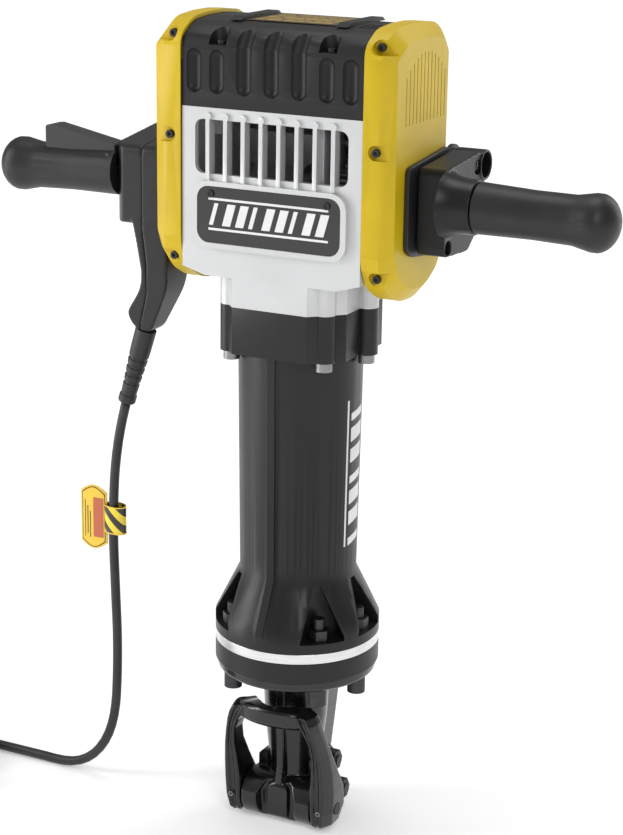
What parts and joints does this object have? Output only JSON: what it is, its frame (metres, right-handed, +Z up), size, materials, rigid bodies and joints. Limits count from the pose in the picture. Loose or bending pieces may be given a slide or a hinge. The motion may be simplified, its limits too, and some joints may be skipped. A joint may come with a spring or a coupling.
{
  "type": "demolition hammer",
  "caption": "Upright electric demolition hammer with a motor and crank housing, cast barrel, hexagon tool holder with swing latch, two sprung handles with trigger, and a mains cord.",
  "frame": {"origin": "centre of the tool holder's mouth, at the lowest face of the nose", "axes": "+Z up along the tool's axis from the nose to the motor, -Y to the front with the badge, +X to the right-hand handle; the switch handle is at -X"},
  "size_m": [0.812, 0.2578, 0.815],
  "materials": {
    "case_silver": "satin cast and painted",
    "cover_black": "fine grained",
    "label_amber": "printed foil, plain",
    "cover_yellow": "satin",
    "screw_black": "black oxide",
    "badge_black": "plain",
    "pad_black": "satin",
    "barrel_black": "satin powder coat",
    "bolt_steel": "dull",
    "band_bright": "turned",
    "damper_black": "satin",
    "nose_black": "gloss black",
    "bolt_black": "black oxide",
    "steel_tool": "ground",
    "rubber_inner": "matt",
    "steel_dark": "laminated",
    "brass_holder": "dull",
    "carbon_black": "matt",
    "alu_inner": "cast",
    "steel_bearing": "ground",
    "module_grey": "potted",
    "commutator_copper": "turned",
    "fan_black": "moulded",
    "steel_gear": "ground",
    "steel_rod": "forged",
    "latch_black": "gloss black",
    "block_black": "gloss black",
    "grip_rubber": "satin",
    "tube_steel": "plated",
    "case_black": "satin",
    "switch_grey": "moulded",
    "spring_steel": "spring wire",
    "trigger_black": "satin",
    "relief_rubber": "satin",
    "cord_rubber": "satin",
    "plug_rubber": "satin",
    "tie_black": "satin",
    "tag_yellow": "plain, hazard stripes"
  },
  "bodies": {
    "housing": {"crankcase": "case_silver", "top_cover": "cover_black", "top_label": "label_amber", "left_cover": "cover_yellow", "right_cover": "cover_yellow", "cover_screws": "screw_black", "badge_plate": "badge_black", "badge_screws": "screw_black", "base_plates": "pad_black", "barrel": "barrel_black", "barrel_bolts": "bolt_steel", "barrel_band": "band_bright", "damper_ring": "damper_black", "nose": "nose_black", "nose_bolts": "bolt_black", "nose_nuts": "bolt_black", "cross_bolts": "bolt_black", "tool_bushing": "steel_tool", "beat_sleeve": "steel_tool", "shock_ring": "rubber_inner", "cylinder_tube": "steel_tool", "motor_stator": "steel_dark", "brush_holders": "brass_holder", "carbon_brushes": "carbon_black", "bearing_plate": "alu_inner", "small_bearings": "steel_bearing", "crank_bearings": "steel_bearing", "control_module": "module_grey", "cord": "cord_rubber", "cord_coil": "cord_rubber", "plug": "plug_rubber", "cord_tie": "tie_black", "cord_tag": "tag_yellow"},
    "armature": {"armature": "steel_dark", "commutator": "commutator_copper", "fan": "fan_black"},
    "intermediate": {"intermediate_gear": "steel_gear"},
    "crank": {"crankshaft": "steel_gear", "crank_gear": "steel_gear"},
    "rod": {"connecting_rod": "steel_rod", "crank_pin": "steel_bearing"},
    "piston": {"piston": "alu_inner", "wrist_pin": "steel_bearing"},
    "striker": {"striker": "steel_tool"},
    "beat": {"beat_piece": "steel_tool"},
    "latch": {"latch_fork": "latch_black", "latch_pin": "bolt_black", "roll_pins": "bolt_steel"},
    "handles": {"right_block": "block_black", "right_grip": "grip_rubber", "cross_tube": "tube_steel", "handle_screws": "screw_black", "switch_case_inner": "case_black", "switch_case_outer": "case_black", "left_grip": "grip_rubber", "switch_body": "switch_grey", "suspension_springs": "spring_steel", "trigger_pin": "bolt_black", "strain_relief": "relief_rubber"},
    "trigger": {"trigger": "trigger_black"}
  },
  "joints": [
    {"name": "motor_spin", "type": "hinge", "parent": "housing", "child": "armature", "pos_m": [0, 0, 0.748], "axis": [1, 0, 0], "continuous": true},
    {"name": "intermediate_spin", "type": "hinge", "parent": "housing", "child": "intermediate", "pos_m": [0, 0, 0.7], "axis": [1, 0, 0], "continuous": true},
    {"name": "crank_spin", "type": "hinge", "parent": "housing", "child": "crank", "pos_m": [0, 0, 0.64], "axis": [1, 0, 0], "continuous": true},
    {"name": "piston_slide", "type": "slide", "parent": "housing", "child": "piston", "axis": [0, 0, 1], "range_m": [0, 0.044]},
    {"name": "rod_swing", "type": "hinge", "parent": "piston", "child": "rod", "pos_m": [0, 0, 0.484], "axis": [1, 0, 0], "range_deg": [-9.4, 9.4]},
    {"name": "striker_slide", "type": "slide", "parent": "housing", "child": "striker", "axis": [0, 0, 1], "range_m": [0, 0.055]},
    {"name": "beat_slide", "type": "slide", "parent": "housing", "child": "beat", "axis": [0, 0, 1], "range_m": [0, 0.012]},
    {"name": "latch_swing", "type": "hinge", "parent": "housing", "child": "latch", "pos_m": [0, -0.026, 0.025], "axis": [1, 0, 0], "range_deg": [0, 165]},
    {"name": "handle_float", "type": "hinge", "parent": "housing", "child": "handles", "pos_m": [0, 0.061, 0.68], "axis": [1, 0, 0], "range_deg": [-1.5, 1.5], "stiffness_Nm_per_rad": 480, "deforming": ["suspension_springs", "cord"]},
    {"name": "trigger_pull", "type": "hinge", "parent": "handles", "child": "trigger", "pos_m": [-0.196, -0.022, 0.672], "axis": [0, -1, 0], "range_deg": [0, 6], "stiffness_Nm_per_rad": 1, "springref_deg": -17.19}
  ],
  "couplings": [
    {"joint": "intermediate_spin", "follows": "motor_spin", "ratio": -0.26316},
    {"joint": "crank_spin", "follows": "motor_spin", "ratio": 0.065789}
  ]
}
